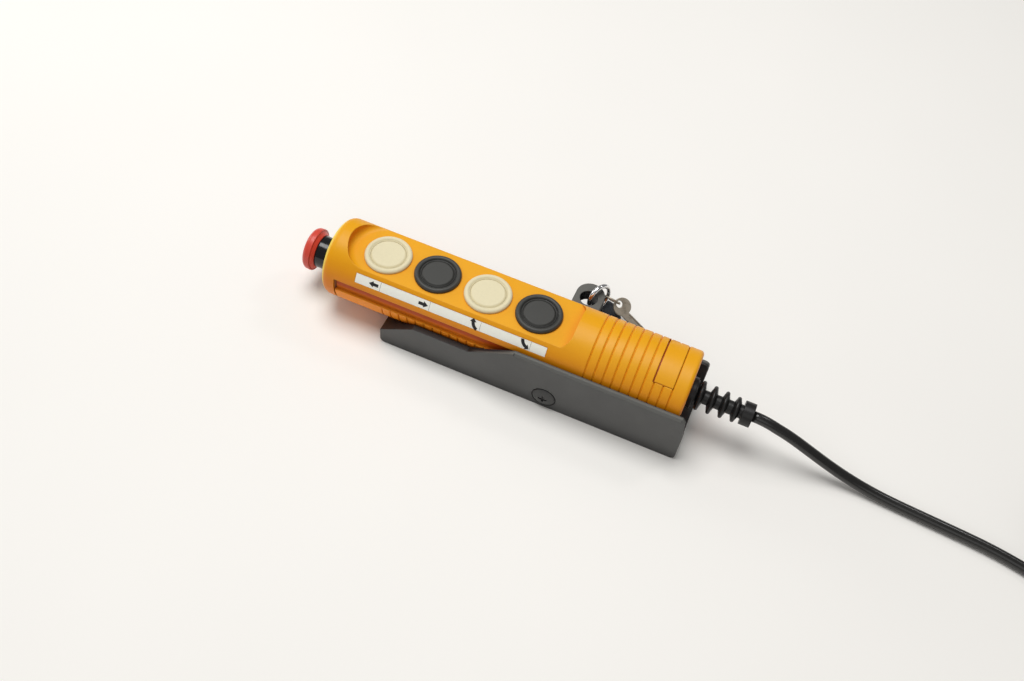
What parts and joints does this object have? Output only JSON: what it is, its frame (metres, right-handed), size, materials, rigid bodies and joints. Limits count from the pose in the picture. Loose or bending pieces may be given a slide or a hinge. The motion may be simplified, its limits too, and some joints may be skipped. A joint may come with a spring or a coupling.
{
  "type": "pushbutton control pendant",
  "caption": "Handheld barrel-shaped control pendant with raised push buttons, a red stop button, a finned cable sleeve, its wall holder and coiled cable.",
  "frame": {"origin": "on the back face of the holder, which lies on the table, under the pendant's axis and in line with the lug for the key ring", "axes": "+X along the pendant from the red stop head to the cable, +Z out of the holder's back towards the buttons, +Y towards the lug"},
  "size_m": [0.5774, 0.1156, 0.052],
  "materials": {
    "housing": "satin",
    "seal": "matte",
    "label": "satin",
    "light_button": "matte",
    "dark_button": "matte",
    "stop_red": "satin",
    "black_gloss": "gloss",
    "black_rubber": "matte",
    "inner_plastic": "matte",
    "board": "satin",
    "steel": "satin",
    "holder_plastic": "satin",
    "chrome": "polished",
    "nickel": "satin",
    "key_plastic": "satin"
  },
  "bodies": {
    "holder": {"holder": "holder_plastic", "holder_screw": "holder_plastic", "cable": "black_rubber", "cable_tail": "black_rubber", "cable_coil": "black_rubber", "coil_tie": "black_rubber", "plug_body": "black_gloss", "plug_nut": "nickel", "plug_insert": "inner_plastic"},
    "pendant": {"upper_housing": "housing", "lower_housing": "housing", "housing_seal": "seal", "hatch_cover": "housing", "label_strip": "label", "housing_screws": "steel", "button_rim_1": "light_button", "button_rim_2": "dark_button", "button_rim_3": "light_button", "button_rim_4": "dark_button", "rim_nuts": "inner_plastic", "button_spring_1": "steel", "button_spring_2": "steel", "button_spring_3": "steel", "button_spring_4": "steel", "contact_block_1": "inner_plastic", "contact_block_2": "inner_plastic", "contact_block_3": "inner_plastic", "contact_block_4": "inner_plastic", "circuit_board": "board", "board_screws": "steel", "stop_collar": "black_gloss", "stop_spring": "steel", "stop_nut": "inner_plastic", "stop_block": "inner_plastic", "cable_gland": "black_rubber", "strain_relief": "black_rubber", "inner_cable": "black_rubber", "cable_clamp": "inner_plastic", "clamp_screws": "steel"},
    "button_1": {"button_cap_1": "light_button"},
    "button_2": {"button_cap_2": "dark_button"},
    "button_3": {"button_cap_3": "light_button"},
    "button_4": {"button_cap_4": "dark_button"},
    "stop_push": {"stop_sleeve": "black_gloss"},
    "stop_head": {"stop_head": "stop_red"},
    "key_ring": {"key_ring": "chrome"},
    "key_link": {"key_link": "chrome"},
    "metal_key": {"metal_key": "nickel"},
    "second_key": {"key_bow": "key_plastic", "key_blade": "nickel"}
  },
  "joints": [
    {"name": "pendant_lift", "type": "slide", "parent": "holder", "child": "pendant", "axis": [0, 0, 1], "range_m": [0, 0.06]},
    {"name": "button_1_press", "type": "slide", "parent": "pendant", "child": "button_1", "axis": [0, 0, -1], "range_m": [0, 0.0025], "stiffness_N_per_m": 800, "springref_m": -0.0015, "deforming": ["button_spring_1"]},
    {"name": "button_2_press", "type": "slide", "parent": "pendant", "child": "button_2", "axis": [0, 0, -1], "range_m": [0, 0.0025], "stiffness_N_per_m": 800, "springref_m": -0.0015, "deforming": ["button_spring_2"]},
    {"name": "button_3_press", "type": "slide", "parent": "pendant", "child": "button_3", "axis": [0, 0, -1], "range_m": [0, 0.0025], "stiffness_N_per_m": 800, "springref_m": -0.0015, "deforming": ["button_spring_3"]},
    {"name": "button_4_press", "type": "slide", "parent": "pendant", "child": "button_4", "axis": [0, 0, -1], "range_m": [0, 0.0025], "stiffness_N_per_m": 800, "springref_m": -0.0015, "deforming": ["button_spring_4"]},
    {"name": "stop_press", "type": "slide", "parent": "pendant", "child": "stop_push", "axis": [1, 0, 0], "range_m": [0, 0.0045], "stiffness_N_per_m": 1500, "springref_m": -0.002, "deforming": ["stop_spring"]},
    {"name": "stop_twist", "type": "hinge", "parent": "stop_push", "child": "stop_head", "pos_m": [-0.16, 0, 0.0245], "axis": [1, 0, 0], "range_deg": [0, 45], "stiffness_Nm_per_rad": 0.01},
    {"name": "ring_swing", "type": "hinge", "parent": "holder", "child": "key_ring", "pos_m": [0.0011, 0.0406, 0.0175], "axis": [0, 0, 1], "range_deg": [-5, 3]},
    {"name": "link_swing", "type": "hinge", "parent": "key_ring", "child": "key_link", "pos_m": [0.0081, 0.0538, 0.014], "axis": [0, 0, 1], "range_deg": [-2, 3]},
    {"name": "metal_key_swing", "type": "hinge", "parent": "key_link", "child": "metal_key", "pos_m": [0.0169, 0.0525, 0.0143], "axis": [0, 0, 1], "range_deg": [-3, 4]},
    {"name": "second_key_swing", "type": "hinge", "parent": "key_ring", "child": "second_key", "pos_m": [0.0061, 0.04705, 0.0099], "axis": [0, 0, 1], "range_deg": [-8, 2]}
  ]
}
